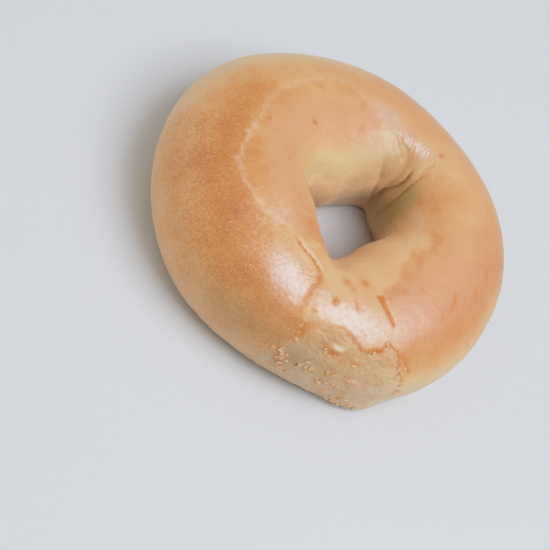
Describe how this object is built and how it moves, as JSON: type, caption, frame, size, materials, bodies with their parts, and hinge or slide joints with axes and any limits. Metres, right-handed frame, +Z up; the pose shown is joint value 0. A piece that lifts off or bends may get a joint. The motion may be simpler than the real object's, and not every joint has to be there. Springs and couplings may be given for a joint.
{
  "type": "bagel",
  "caption": "Plain boiled and baked bread ring with a smooth glossy crust, a gathered hole and a flat base.",
  "frame": {"origin": "on the floor under the middle of the part's box, at the height of the flat base", "axes": "+Z up out of the flat base, +X along the longest way across the ring, +Y towards the side of the hole where the dough is gathered in folds"},
  "size_m": [0.1152, 0.1074, 0.0377],
  "materials": {
    "crust": "smooth baked crust with a soft gloss, golden orange on the sides and paler in the hole and at the base"
  },
  "bodies": {
    "root": {"bagel": "crust"}
  },
  "joints": []
}
